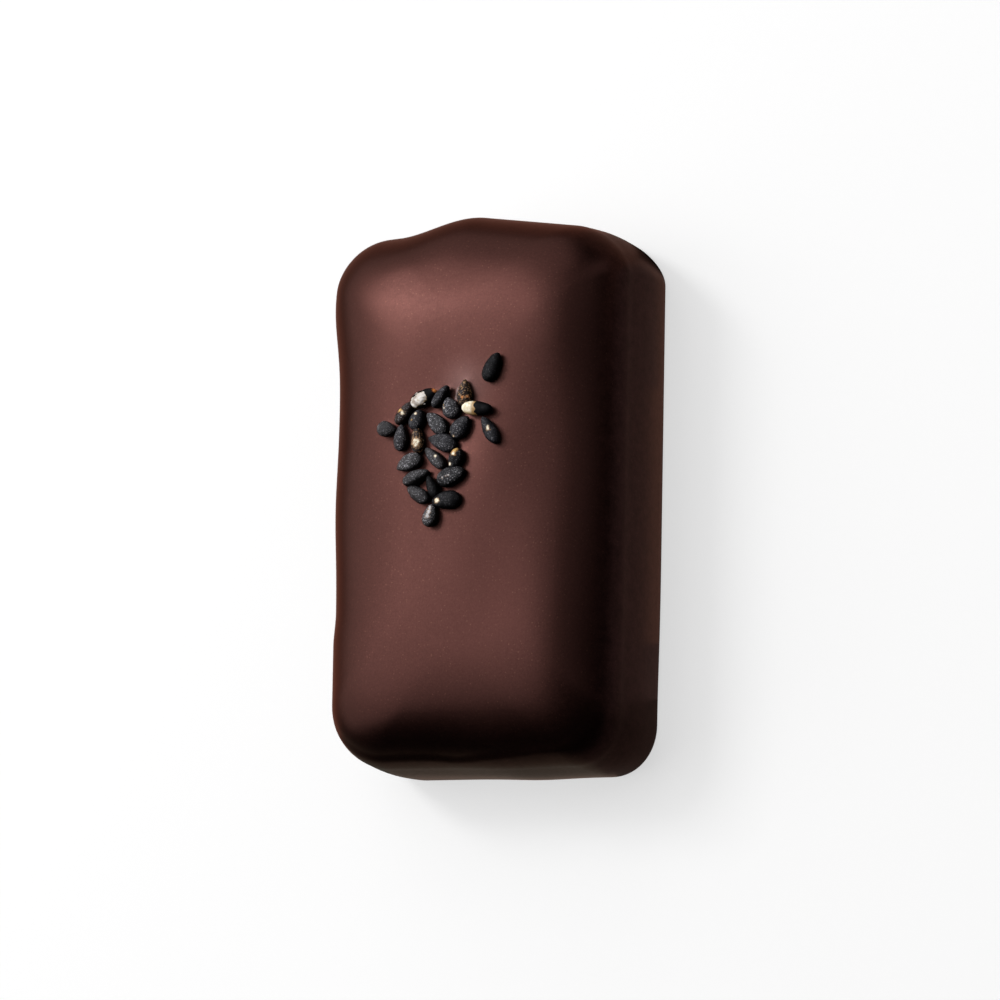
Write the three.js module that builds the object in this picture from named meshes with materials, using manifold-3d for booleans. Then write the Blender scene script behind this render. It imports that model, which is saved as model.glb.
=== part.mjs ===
// A filled chocolate: a hand-enrobed bar of dark chocolate with a flat foot, softly rounded
// shoulders, a slightly wavy coat, and a small cluster of black sesame seeds set into its top.
// Millimetres, +Z up, the long side along Y. The origin is in the middle of the foot.
import * as THREE from "three";
import { mergeVertices } from "three/addons/utils/BufferGeometryUtils.js";
import Module from "manifold-3d";

// The bar, before the waves in its coat.
const WIDTH = 27.9;
const LENGTH = 49.4;
const HEIGHT = 13.85; // before the crown
const CROWN = 0.45; // how far the middle of the top stands above that
const CROWN_FLATNESS = 4; // higher is flatter in the middle and falls sooner at the sides
const SHOULDER = 6.0; // radius of the rounded edge between the top and the sides
const BROW = 4.0; // how far that edge runs on into the top as it flattens out
const BROW_HOLD = 4; // higher keeps that back until nearer the top
const FOOT = 0.9; // radius of the small edge at the bottom
const BELLY = 0.15; // how far the sides swell between foot and shoulder
const CORNERS = { nearLeft: 5.3, nearRight: 4.4, farRight: 5.0, farLeft: 5.6 }; // radii seen from above
const RIM_CORNER = 3.5; // the corner radius that is left where the shoulders meet the top

// Waves in the coat, each felt within REACH of its side. A swell is a smooth bump: where its
// middle is along the side, how wide it is, and how far it stands out. A step is a smooth rise.
const REACH = 9.0;
const FAR_SLANT = -0.142; // the far end runs this much off square
const FAR_STEP = { at: -4.75, half: 4.65, rise: 2.6 }; // left of here, the far end stands back
const NEAR_SLANT = 0.03;
const NEAR_SWELLS = [{ at: 2.7, width: 3.5, out: 0.15 }];
const LEFT_SWELLS = [
  { at: 17.0, width: 4.4, out: 0.62 },
  { at: -1.4, width: 5.0, out: 0.25 },
];
const LEFT_STEP = { at: -12.0, half: 1.5, rise: 0.21 }; // nearer than here, the left side stands out
const RIGHT_SWELLS = [{ at: -20.0, width: 7.0, out: -0.15 }]; // a hollow

// Slow rises and hollows of the top: the middle, how far each is felt along x and y, how high.
const TOP_SWELLS = [
  { x: 1.0, y: 12.0, wide: 5.0, long: 5.0, rise: 0.16 },
  { x: 1.0, y: -3.0, wide: 3.5, long: 8.0, rise: 0.18 },
  { x: -9.0, y: -6.0, wide: 3.2, long: 8.0, rise: -0.2 },
  { x: 9.5, y: 5.5, wide: 3.2, long: 6.5, rise: -0.21 },
  { x: -4.0, y: 20.5, wide: 8.0, long: 2.5, rise: -0.12 },
  { x: -7.0, y: -22.0, wide: 5.0, long: 4.0, rise: 0.2 },
  { x: 5.0, y: -22.0, wide: 6.0, long: 5.0, rise: -0.12 },
  { x: 10.0, y: 14.5, wide: 2.5, long: 3.0, rise: 0.1 },
  { x: 9.0, y: -11.0, wide: 3.0, long: 5.0, rise: 0.07 },
  { x: -12.0, y: 19.0, wide: 3.0, long: 4.0, rise: 0.1 },
];

// How finely the surface is cut.
const CORNER_CUTS = 4; // in half a corner
const SIDE_CUTS = { short: 10, long: 22 }; // along the straight of each side
const FOOT_CUTS = 3;
const WALL_CUTS = 3;
const SHOULDER_CUTS = 11;

// A seed is a flat drop with a pointed tip. It lies in the coat, sunk by a share of its thickness.
const SEED_THICKNESS = 1.25;
const SEED_SUNK = 0.25; // as a share of its thickness
const SEED_BELLY = 0.38; // how far from its blunt end a seed is widest, as a share of its length
const SEED_TAPER = 0.62; // lower is a fuller tip
const SEED_SIDES = 6;
const SEED_RINGS = [0.1, 0.4, 0.8]; // where its cross-sections are, from blunt end to tip

// The seeds as they were sprinkled: middle x and y, the way the tip points in degrees from +X,
// length, greatest width, and how far a seed that lies on others is lifted.
const SEEDS = [
  { x: 3.9, y: 9.93, turn: 65, length: 2.76, width: 1.46 },
  { x: 1.26, y: 7.75, turn: 89, length: 2.52, width: 1.31 },
  { x: 2.55, y: 6.28, turn: -6, length: 2.94, width: 1.33, lift: 0.15 },
  { x: 3.81, y: 4.32, turn: 121, length: 2.82, width: 1.27 },
  { x: -0.1, y: 6.51, turn: 112, length: 2.04, width: 1.59 },
  { x: -1.05, y: 7.54, turn: 53, length: 2.35, width: 0.94, lift: 0.1 },
  { x: -2.71, y: 7.54, turn: 25, length: 2.75, width: 1.46, lift: 0.15 },
  { x: -4.61, y: 6.38, turn: 49, length: 2.62, width: 1.15 },
  { x: -3.42, y: 5.63, turn: 68, length: 1.93, width: 1.42 },
  { x: -6.41, y: 4.98, turn: -9, length: 1.88, width: 1.41 },
  { x: -5.02, y: 4.15, turn: 86, length: 2.45, width: 1.29 },
  { x: -3.34, y: 3.87, turn: 92, length: 2.58, width: 1.15 },
  { x: -1.47, y: 5.23, turn: 134, length: 2.6, width: 1.52 },
  { x: 0.95, y: 4.73, turn: 50, length: 2.33, width: 1.54 },
  { x: -0.87, y: 3.5, turn: 162, length: 2.91, width: 1.61 },
  { x: -4.18, y: 1.83, turn: 203, length: 2.57, width: 1.48 },
  { x: -1.58, y: 2.1, turn: 135, length: 2.71, width: 1.14 },
  { x: 0.56, y: 1.84, turn: 251, length: 2.06, width: 1.35 },
  { x: 0.11, y: 0.4, turn: 17, length: 2.78, width: 1.75 },
  { x: -3.43, y: 0.49, turn: 23, length: 2.63, width: 1.17 },
  { x: -1.75, y: -0.44, turn: 114, length: 2.22, width: 1.08 },
  { x: -3.21, y: -1.02, turn: 148, length: 2.46, width: 1.32 },
  { x: -0.35, y: -1.73, turn: 183, length: 2.76, width: 1.7 },
  { x: -1.94, y: -3.0, turn: 77, length: 2.09, width: 1.24 },
];

const lerp = THREE.MathUtils.lerp;
const smooth = THREE.MathUtils.smoothstep; // (value, low, high)
const swell = (place, { at, width, out }) => out * Math.exp(-(((place - at) / width) ** 2));
const swells = (place, list) => list.reduce((sum, each) => sum + swell(place, each), 0);
const step = (place, { at, half, rise }) => rise * smooth(place, at - half, at + half);

// The closed outline of the bar at one level, running counter-clockwise from the middle of
// its near left corner, as four sides of equal cuts that meet in the middles of the corners.
function outline(halfWidth, halfLength, radii) {
  const corners = [
    { x: -1, y: -1, r: radii.nearLeft, cuts: SIDE_CUTS.short },
    { x: 1, y: -1, r: radii.nearRight, cuts: SIDE_CUTS.long },
    { x: 1, y: 1, r: radii.farRight, cuts: SIDE_CUTS.short },
    { x: -1, y: 1, r: radii.farLeft, cuts: SIDE_CUTS.long },
  ];
  const onArc = ({ x, y, r }, degrees) => {
    const a = THREE.MathUtils.degToRad(degrees);
    const middle = [x * (halfWidth - r), y * (halfLength - r)];
    return new THREE.Vector2(middle[0] + r * Math.cos(a), middle[1] + r * Math.sin(a));
  };
  return corners.map((corner, i) => {
    const next = corners[(i + 1) % 4];
    const square = 270 + 90 * i; // the way this side faces
    const points = [];
    for (let k = 0; k < CORNER_CUTS; k++) points.push(onArc(corner, square - 45 + (45 * k) / CORNER_CUTS));
    const from = onArc(corner, square);
    const to = onArc(next, square);
    for (let k = 0; k < corner.cuts; k++) points.push(from.clone().lerp(to, k / corner.cuts));
    for (let k = 0; k < CORNER_CUTS; k++) points.push(onArc(next, square + (45 * k) / CORNER_CUTS));
    return points;
  });
}

// The levels from the foot up to the rim of the top: how far in from the outline, and how high.
function levels() {
  const found = [];
  for (let k = 0; k <= FOOT_CUTS; k++) {
    const a = (Math.PI / 2) * (k / FOOT_CUTS);
    found.push({ inset: FOOT * (1 - Math.sin(a)), z: FOOT * (1 - Math.cos(a)) });
  }
  const wall = HEIGHT - SHOULDER - FOOT;
  for (let k = 1; k < WALL_CUTS; k++) {
    const share = k / WALL_CUTS;
    found.push({ inset: -BELLY * Math.sin(Math.PI * share), z: FOOT + wall * share });
  }
  for (let k = 0; k <= SHOULDER_CUTS; k++) {
    const share = k / SHOULDER_CUTS;
    const a = (Math.PI / 2) * share;
    const inset = SHOULDER * (1 - Math.cos(a)) + BROW * share ** BROW_HOLD;
    found.push({ inset, z: HEIGHT - SHOULDER + SHOULDER * Math.sin(a) });
  }
  return found;
}

// The outline at one level, with corners that tighten from the sides towards the rim.
function ringAt({ inset, z }) {
  const share = THREE.MathUtils.clamp(inset / (SHOULDER + BROW), 0, 1);
  const radii = {};
  for (const [name, r] of Object.entries(CORNERS)) radii[name] = lerp(r, RIM_CORNER, share);
  const sides = outline(WIDTH / 2 - inset, LENGTH / 2 - inset, radii);
  return sides.map((side) => side.map((p) => new THREE.Vector3(p.x, p.y, z)));
}

// A grid that fills a ring: each inner point is blended from the four sides round it.
function fill(sides) {
  const [near, right, far, left] = sides.map((side, i) => [...side, sides[(i + 1) % 4][0]]);
  const columns = near.length - 1;
  const rows = right.length - 1;
  const grid = [];
  for (let j = 0; j <= rows; j++) {
    const v = j / rows;
    for (let i = 0; i <= columns; i++) {
      const u = i / columns;
      const across = left[rows - j].clone().lerp(right[j], u);
      const along = near[i].clone().lerp(far[columns - i], v);
      const low = near[0].clone().lerp(near[columns], u);
      const high = far[columns].clone().lerp(far[0], u);
      grid.push(across.add(along).sub(low.lerp(high, v)));
    }
  }
  return { grid, columns, rows };
}

// Moves a point of the plain bar to where the wavy coat has it.
function wave(p) {
  const { x, y } = p;
  const nearness = (distance) => smooth(REACH - distance, 0, REACH);
  const far = FAR_SLANT * x + step(x, FAR_STEP) - FAR_STEP.rise;
  const near = NEAR_SLANT * x + swells(x, NEAR_SWELLS);
  const left = swells(y, LEFT_SWELLS) + LEFT_STEP.rise - step(y, LEFT_STEP);
  const right = swells(y, RIGHT_SWELLS);
  p.x += right * nearness(WIDTH / 2 - x) - left * nearness(WIDTH / 2 + x);
  p.y += far * nearness(LENGTH / 2 - y) - near * nearness(LENGTH / 2 + y);
  p.z += crownAt(x, y) * smooth(p.z, HEIGHT - SHOULDER, HEIGHT);
}

// How far the top stands above HEIGHT: a crown that is gone at the sides, and the slow swells.
function crownAt(x, y) {
  const fade = (place, half) => 1 - (place / half) ** CROWN_FLATNESS;
  const crown = CROWN * fade(x, WIDTH / 2) * fade(y, LENGTH / 2);
  const rise = (each) => {
    const away = ((x - each.x) / each.wide) ** 2 + ((y - each.y) / each.long) ** 2;
    return each.rise * Math.exp(-away);
  };
  return TOP_SWELLS.reduce((sum, each) => sum + rise(each), crown);
}

function coat() {
  const positions = [];
  const faces = [];
  const add = (p) => positions.push(p.x, p.y, p.z) / 3 - 1;
  const quad = (a, b, c, d) => faces.push(a, b, c, a, c, d);

  const rings = levels().map((level) => ringAt(level));
  const loops = rings.map((sides) => sides.flat());
  for (const p of loops.flat()) wave(p);
  const around = loops[0].length;
  for (const p of loops.flat()) add(p);
  for (let k = 0; k + 1 < loops.length; k++) {
    for (let i = 0; i < around; i++) {
      const next = (i + 1) % around;
      quad(k * around + i, k * around + next, (k + 1) * around + next, (k + 1) * around + i);
    }
  }

  const top = fill(ringAt(levels().at(-1)));
  for (const p of top.grid) wave(p);
  const first = positions.length / 3;
  top.grid.forEach(add);
  const at = (i, j) => first + j * (top.columns + 1) + i;
  for (let j = 0; j < top.rows; j++) {
    for (let i = 0; i < top.columns; i++) quad(at(i, j), at(i + 1, j), at(i + 1, j + 1), at(i, j + 1));
  }

  const middle = add(new THREE.Vector3(0, 0, 0)); // the flat foot, as a fan
  for (let i = 0; i < around; i++) faces.push(middle, (i + 1) % around, i);

  const made = new THREE.BufferGeometry();
  made.setAttribute("position", new THREE.Float32BufferAttribute(positions, 3));
  made.setIndex(faces);
  return made;
}

// Half the width of a seed at a share of its length, from the blunt end at 0 to the tip at 1,
// as a share of its greatest half width.
function seedSwell(share) {
  if (share < SEED_BELLY) return Math.sqrt(1 - (1 - share / SEED_BELLY) ** 2);
  return Math.cos((Math.PI / 2) * ((share - SEED_BELLY) / (1 - SEED_BELLY))) ** SEED_TAPER;
}

function seed({ x, y, turn, length, width, lift = 0 }) {
  const positions = [-length / 2, 0, 0];
  for (const share of SEED_RINGS) {
    for (let k = 0; k < SEED_SIDES; k++) {
      const a = (2 * Math.PI * (k + 0.5)) / SEED_SIDES;
      const half = seedSwell(share);
      const across = (width / 2) * half * Math.cos(a);
      const up = (SEED_THICKNESS / 2) * Math.sqrt(half) * Math.sin(a);
      positions.push((share - 0.5) * length, across, up);
    }
  }
  positions.push(length / 2, 0, 0);
  const faces = [];
  const tip = positions.length / 3 - 1;
  const last = tip - SEED_SIDES;
  for (let k = 0; k < SEED_SIDES; k++) {
    const next = (k + 1) % SEED_SIDES;
    faces.push(0, 1 + next, 1 + k, tip, last + k, last + next);
    for (let ring = 0; ring + 1 < SEED_RINGS.length; ring++) {
      const a = 1 + ring * SEED_SIDES;
      const b = a + SEED_SIDES;
      faces.push(a + k, a + next, b + next, a + k, b + next, b + k);
    }
  }
  const made = new THREE.BufferGeometry();
  made.setAttribute("position", new THREE.Float32BufferAttribute(positions, 3));
  made.setIndex(faces);
  made.rotateZ(THREE.MathUtils.degToRad(turn));
  const middle = SEED_THICKNESS * (0.5 - SEED_SUNK);
  made.translate(x, y, HEIGHT + crownAt(x, y) + middle + lift);
  return made;
}

const wasm = await Module();
wasm.setup();

function solid(geometry) {
  const merged = mergeVertices(geometry, 1e-4);
  return new wasm.Manifold(
    new wasm.Mesh({
      numProp: 3,
      vertProperties: merged.attributes.position.array,
      triVerts: new Uint32Array(merged.index.array),
    }),
  );
}

function geometryOf(manifold) {
  const mesh = manifold.getMesh();
  const made = new THREE.BufferGeometry();
  made.setAttribute("position", new THREE.BufferAttribute(new Float32Array(mesh.vertProperties), 3));
  made.setIndex(new THREE.BufferAttribute(new Uint32Array(mesh.triVerts), 1));
  return made;
}

const joined = SEEDS.reduce((body, each) => body.add(solid(seed(each))), solid(coat()));
const geometry = geometryOf(joined);
geometry.computeBoundingBox();
const middle = geometry.boundingBox.getCenter(new THREE.Vector3());
geometry.translate(-middle.x, -middle.y, 0);
geometry.computeVertexNormals();

const darkChocolate = new THREE.MeshStandardMaterial({ color: 0x3c1f18, roughness: 0.35, metalness: 0 });
const chocolate = new THREE.Mesh(geometry, darkChocolate);
chocolate.name = "chocolate";

const part = new THREE.Group();
part.add(chocolate);

export default part;
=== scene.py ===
"""A filled dark chocolate with black sesame seeds set into its top, for a close studio view.

The coat is built from the same named sizes as the solid part, cut much finer, with the slow waves
and the small rims of chocolate that a dipped coat has. The seeds are separate meshes.
Sizes are in millimetres until a mesh is made, with +Z up and +Y along the long side.
"""

import math
from collections import namedtuple

import bpy
import numpy as np
from mathutils import Matrix, Vector, noise


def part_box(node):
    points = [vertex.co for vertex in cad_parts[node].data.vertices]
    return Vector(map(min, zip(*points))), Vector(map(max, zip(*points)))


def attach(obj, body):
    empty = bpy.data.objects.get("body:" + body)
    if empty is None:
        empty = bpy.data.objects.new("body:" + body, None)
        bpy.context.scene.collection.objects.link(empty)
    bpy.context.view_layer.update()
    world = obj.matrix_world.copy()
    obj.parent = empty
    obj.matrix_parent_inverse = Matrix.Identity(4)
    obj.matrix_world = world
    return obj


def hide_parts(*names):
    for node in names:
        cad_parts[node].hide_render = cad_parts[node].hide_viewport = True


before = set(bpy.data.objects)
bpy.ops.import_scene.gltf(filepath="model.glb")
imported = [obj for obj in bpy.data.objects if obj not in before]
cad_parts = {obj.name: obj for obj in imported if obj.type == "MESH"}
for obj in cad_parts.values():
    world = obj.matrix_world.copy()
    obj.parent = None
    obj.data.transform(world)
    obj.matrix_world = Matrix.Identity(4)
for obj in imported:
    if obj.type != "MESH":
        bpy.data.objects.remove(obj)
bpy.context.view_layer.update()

MM = 0.001

# ---------------------------------------------------------------- the bar's sizes, in mm
WIDTH = 27.9
LENGTH = 49.4
HEIGHT = 13.85
CROWN = 0.45
CROWN_FLATNESS = 4
SHOULDER = 6.0
BROW = 4.0
BROW_HOLD = 4
FOOT = 0.9
BELLY = 0.15
NEAR_LEFT, NEAR_RIGHT, FAR_RIGHT, FAR_LEFT = 5.3, 4.4, 5.0, 5.6
RIM_CORNER = 3.5

REACH = 9.0
FAR_SLANT = -0.142
FAR_STEP = (-4.75, 4.65, 2.6)  # where, half width, rise
NEAR_SLANT = 0.03
NEAR_SWELLS = [(2.7, 3.5, 0.15)]  # where along the side, width, how far out
LEFT_SWELLS = [(17.0, 4.4, 0.62), (-1.4, 5.0, 0.25)]
LEFT_STEP = (-12.0, 1.5, 0.21)
RIGHT_SWELLS = [(-20.0, 7.0, -0.15)]
# The slow rises and hollows of the top: x, y, reach along x, reach along y, how high.
TOP_SWELLS = [
    (-1.3, 14.1, 5.6, 4.9, 0.20),
    (2.1, -0.5, 3.1, 7.8, 0.25),
    (-9.5, -5.5, 3.6, 8.5, -0.25),
    (9.3, 4.1, 3.7, 7.2, -0.29),
    (-4.2, 18.8, 8.2, 2.2, -0.09),
    (-6.3, -21.8, 5.2, 4.3, 0.23),
    (4.5, -23.1, 5.8, 3.2, -0.13),
    (9.6, 14.3, 2.6, 3.8, 0.16),
    (9.7, -12.5, 2.8, 5.0, 0.06),
    (-12.8, 19.1, 2.7, 4.0, 0.04),
    (-7.0, -23.5, 3.5, 2.5, 0.10),
    (3.2, 1.8, 3.4, 4.1, 0.09),
    (4.6, -11.2, 3.6, 5.6, -0.08),
    (-2.8, -12.2, 3.8, 4.0, 0.04),
]

# The near side steps in by a hair above this height, which climbs to the right and dips in between.
LEDGE, LEDGE_AT, LEDGE_RISE, LEDGE_HALF = 0.22, 10.55, 0.03, 0.35
LEDGE_SWELLS = [(-1.0, 2.2, -0.50), (9.0, 5.0, 0.50)]

# How finely the coat is cut here, and where along the long sides it is cut finer still.
CORNER_CUTS = 12
SIDE_CUTS = (60, 170)  # on the short sides and on the long ones
FINE_FROM, FINE_SHARE = 0.3, 0.85
FOOT_CUTS = 5
WALL_CUTS = 10
SHOULDER_CUTS = (26, 50)
BROW_FROM = 0.7

# How far the coat climbs a seed and how soon it falls away, for most seeds and for those that differ.
CLIMB = (0.015, 0.12)
CLIMBS = {1: (0.03, 0.2)}
CLUSTER_DEPTH = 1.5  # the coat that can climb a seed lies no lower than this below the rim
CLUSTER_Y, CLUSTER_REACH = 3.5, 10  # the middle of the seeds along y, and how far they reach
SEED_REACH = 3.5  # how far from its middle a seed can matter
MOUND = (0.06, 1.0, 8.6, 2.0)  # the coat is a little higher here: how high, x, y, reach
# Where the coat has more of a clear film: x, y, reach along x, reach along y, how much of it.
FILMS = [(1.0, 8.6, 2.0, 2.0, 0.22)]
SHINY_EDGE = 1  # the seed with a thin glossy crescent of coat along its left side
CRESCENT = (0.33, 0.52)  # how far from the seed it lies
CRESCENT_STARTS, CRESCENT_STOPS = (0.2, 0.4), (0.85, 0.65)  # as shares of the way along the seed
CRESCENT_NEAR_EDGE, CRESCENT_FAR_EDGE = (-0.08, 0.04), (0.06, -0.06)  # how softly it fades

# ---------------------------------------------------------------- the seeds, in mm
SEED_THICKNESS = 1.25
SEED_SUNK = 0.1  # as a share of its thickness
SEED_BELLY = 0.38
SEED_ROWS = 64
SEED_AROUND = 48
SEED_EDGE_CUTS = 32
THINNING = 0.7  # how a seed's thickness follows its width
DRAW_SEED = 24
ROLL_DRAW, PITCH_DRAW = 6, 4  # degrees either way

# base colours of hulls and of the marks on them, linear
COAL = (0.0025, 0.0025, 0.003)
SLATE = (0.009, 0.0088, 0.0112)
ASH = (0.023, 0.0215, 0.0225)
UMBER = (0.016, 0.009, 0.0065)
CREAM = (0.95, 0.86, 0.68)
STRAW = (0.55, 0.36, 0.13)
AMBER = (0.75, 0.28, 0.08)
# grey-white of painted glints and of a painted sheen streak
PAINTED_GLINT = (0.55, 0.54, 0.55)
TAN = (0.36, 0.21, 0.11)

# A mark is (share of the way from the blunt end to the tip, share of the half width, radius, colour).
# Some marks are painted glints, not chips: the grey-white ones and the small pale ones noted by their
# seeds.
Seed = namedtuple("Seed", "x y turn length width lift taper hull flecked marks")
SEEDS = [
    Seed(3.9, 9.93, 65, 2.76, 1.46, 0, 0.55, COAL, 0.05, []),
    Seed(1.26, 7.75, 89, 2.52, 1.31, 0, 0.72, UMBER, 0.1, [
        (0.32, -0.1, 0.1, AMBER), (0.36, -0.7, 0.11, AMBER),
    ]),
    Seed(2.55, 6.28, -6, 2.94, 1.33, 0.15, 0.32, COAL, 0, []),
    Seed(3.81, 4.32, 121, 2.82, 1.27, 0, 0.68, SLATE, 0.15, [
        (0.51, -0.07, 0.17, CREAM), (0.42, -0.21, 0.06, STRAW),
    ]),
    # the two small pale marks on this seed's rim are painted glints
    Seed(-0.1, 6.51, 112, 2.04, 1.59, 0, 0.6, SLATE, 0.9, [
        (0.68, 0.51, 0.07, STRAW), (0.54, 0.56, 0.07, CREAM),
    ]),
    Seed(-1.05, 7.54, 53, 2.35, 0.94, 0.1, 0.52, SLATE, 0.35, []),
    Seed(-2.71, 7.54, 25, 2.75, 1.46, 0.15, 0.5, COAL, 0, [(1.0, 0.06, 0.2, AMBER)]),
    Seed(-4.61, 6.38, 49, 2.62, 1.15, 0, 0.6, UMBER, 0.3, [
        (0.45, 0.5, 0.17, STRAW), (0.45, -0.21, 0.17, CREAM),
    ]),
    # the small straw mark on this seed's side is a painted glint
    Seed(-3.42, 5.63, 68, 1.93, 1.42, 0, 0.5, SLATE, 0.25, [
        (0.75, 0.03, 0.1, CREAM), (0.43, 0.21, 0.07, STRAW),
    ]),
    Seed(-6.41, 4.98, -9, 1.88, 1.41, 0, 0.8, ASH, 0.35, []),
    Seed(-5.02, 4.15, 86, 2.45, 1.29, 0, 0.75, SLATE, 0.6, []),
    Seed(-3.34, 3.87, 92, 2.58, 1.15, 0, 0.75, UMBER, 0.15, [(0.38, -0.21, 0.3, CREAM)]),
    Seed(-1.47, 5.23, 134, 2.6, 1.52, 0, 0.62, COAL, 1.0, []),
    # the two small cream marks on this seed's rim are painted highlights
    Seed(0.95, 4.73, 50, 2.33, 1.54, 0, 0.62, SLATE, 0.3, [
        (0.09, 0.55, 0.07, CREAM), (0.08, -0.19, 0.08, CREAM),
    ]),
    Seed(-0.87, 3.5, 162, 2.91, 1.61, 0, 0.85, SLATE, 0.28, []),
    Seed(-4.18, 1.83, 203, 2.57, 1.48, 0, 0.7, ASH, 0.9, []),
    Seed(-1.58, 2.1, 135, 2.71, 1.14, 0, 0.62, ASH, 0.4, [(0.43, -0.53, 0.11, CREAM)]),
    # the smallest cream mark, near this seed's tip, is a painted glint
    Seed(0.56, 1.84, 251, 2.06, 1.35, 0, 0.55, COAL, 0.15, [
        (0.19, -0.18, 0.28, STRAW), (0.27, -0.17, 0.16, CREAM), (0.76, -0.25, 0.1, CREAM),
    ]),
    # the three grey-white marks on this seed are painted glints
    Seed(0.11, 0.4, 17, 2.78, 1.75, 0, 0.5, COAL, 0.35, [
        (0.28, -0.17, 0.08, PAINTED_GLINT), (0.41, -0.17, 0.07, PAINTED_GLINT),
        (0.51, -0.14, 0.07, PAINTED_GLINT), (0.18, 0.84, 0.08, AMBER),
    ]),
    Seed(-3.43, 0.49, 23, 2.63, 1.17, 0, 0.55, ASH, 0.3, []),
    Seed(-1.75, -0.44, 114, 2.22, 1.08, 0, 0.6, COAL, 0.05, []),
    Seed(-3.21, -1.02, 148, 2.46, 1.32, 0, 0.6, ASH, 0.35, []),
    Seed(-0.35, -1.73, 183, 2.76, 1.7, 0, 0.55, COAL, 0.06, [(0.77, 0.05, 0.17, CREAM)]),
    # the three grey-white marks on this seed are a painted sheen streak
    Seed(-1.94, -3.0, 77, 2.09, 1.24, 0, 0.55, ASH, 1.0, [
        (0.77, 0.05, 0.17, PAINTED_GLINT), (0.59, 0.0, 0.2, PAINTED_GLINT), (0.41, -0.07, 0.18, PAINTED_GLINT),
    ]),
]
# How flat the faces are (1 for an ellipse), the seeds with a flat face and a clear rim, those with
# tan specks, and how far some are rolled about their long axis, in degrees, by place in the list.
FLATNESS, FLATTER = 0.75, 0.5
FLAT = (5, 9, 14, 15, 19)
SPECKLED = (1, 11)
ROLLS = {5: -10, 7: -10, 8: -6, 11: -6, 17: 6, 18: -6, 19: -10, 23: -4}

# The relief of a hull: how high and how large its slow waves are, and its fine ones.
HULL_WAVES, HULL_GRAIN = (0.055, 0.7), (0.016, 0.16)
SALT = 7  # makes the noise differ from seed to seed
# A hull's colour: the sizes of three noises over it, how much the first and the last of them change
# it and within what range, and how dark the painted shade is on the sides that face away from up.
HULL_NOISES = (0.6, 0.26, 0.12)
COLOUR_SALT = 3.7
MOTTLE, MOTTLE_RANGE = (0.5, 0.6), (0.2, 2)
HULL_SIDE_SHADE = 0.35
# Where it is painted as lit, with painted shade elsewhere: the way those sides face, and how closely.
# Then how much pale grain and painted glint it has there.
LIT_FACING = (0.08, 0.06, 0.99)
LIT_FACING_RANGE = (0.3, 0.9)
GRAIN_GLINTS, GRAIN_GLINTS_SPREAD = 1.15, 0.9
# The marks: only above this height, a little longer than wide, ragged, with a torn fringe.
MARKED_ABOVE = (-0.15, 0.0)
MARK_SQUEEZE = 0.85
MARK_RAGGED = (0.7, 0.6)
CORE_EDGE, CORE_MOTTLE = (0.95, 0.7), 0.5
FRINGE = np.array((0.55, 0.38, 0.26))  # what is left of a mark's colour at its edge
FRINGE_EDGE, FRINGE_TORN = (1.5, 1.1), (-0.25, 0.15)
SPECK_SHARPNESS = (0.16, 0.34)
SPECK_PATCHY, SPECK_SHARE = 0.6, 0.8

# Where a hull is gone and the pale kernel shows: seed number: (along, half length, half width)
BARE = {2: (0.0, 1.42, 9.0), 6: (0.35, 0.98, 0.52)}
BROKEN = 6  # the one whose hull is gone on its top alone, above this height
BROKEN_ABOVE = 0.1
TEAR_NOISES = (2.4, 6)  # waves a mm, coarse and fine
TEAR_FINE, TEAR_RAGGED, TEAR_HALF = 0.3, 0.24, 0.03
TORN_EDGE, TORN_SHARE, TORN_STRAW = (0.02, 0.3), 0.9, 0.35
HULL_TUCKED = 0.16  # how far the hull's points lie inside it where it is gone
KERNEL_TUCKED = 0.045

KERNEL_CREAM = (0.92, 0.84, 0.66)
KERNEL_GOLD_SHADE = (0.42, 0.25, 0.09)
KERNEL_WHITE = (0.80, 0.76, 0.72)
KERNEL_CREASE_SHADE = (0.36, 0.30, 0.26)
# The cream kernel: its relief, and where it turns golden: a painted shade below its middle, and a darker
# gold along the break.
KERNEL_WAVES = (0.008, 0.13)
GOLD_SHADE_BELOW, GOLD_AT_BREAK = (0.3, 1.0), (0.5, 0.05)
# The white kernel: its folds, long ones and fine ones, the painted shade in their creases and its shaded
# side.
LONG_FOLDS, LONG_FOLD_SIZE, LONG_FOLD_SALT = (0.5, 1, 1), 0.27, 3.0
FINE_FOLDS, FINE_FOLD_SIZE, FINE_FOLD_SALT = 0.5, 0.15, 9.0
FOLD_HEIGHT = 0.12
CREASE_SHADE_RANGE, SHADED_SIDE, SIDE_SHADE = (0.1, -0.35), (0.05, 0.25), 0.5


def smooth(low, high, value):
    share = np.clip((value - low) / (high - low), 0, 1)
    return share * share * (3 - 2 * share)


def hills(x, y, listed):
    """The sum of soft round hills, each x, y, reach along x, reach along y, how high."""
    return sum(high * np.exp(-(((x - a) / w) ** 2) - ((y - b) / l) ** 2) for a, b, w, l, high in listed)


def swells(place, listed):
    return sum(out * np.exp(-(((place - at) / width) ** 2)) for at, width, out in listed)


def step(place, at, half, rise):
    return rise * smooth(at - half, at + half, place)


def crown_at(x, y):
    """How far the top stands above the rim of the shoulders."""
    crown = CROWN * (1 - (2 * x / WIDTH) ** CROWN_FLATNESS) * (1 - (2 * y / LENGTH) ** CROWN_FLATNESS)
    return crown + hills(x, y, TOP_SWELLS)


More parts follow.
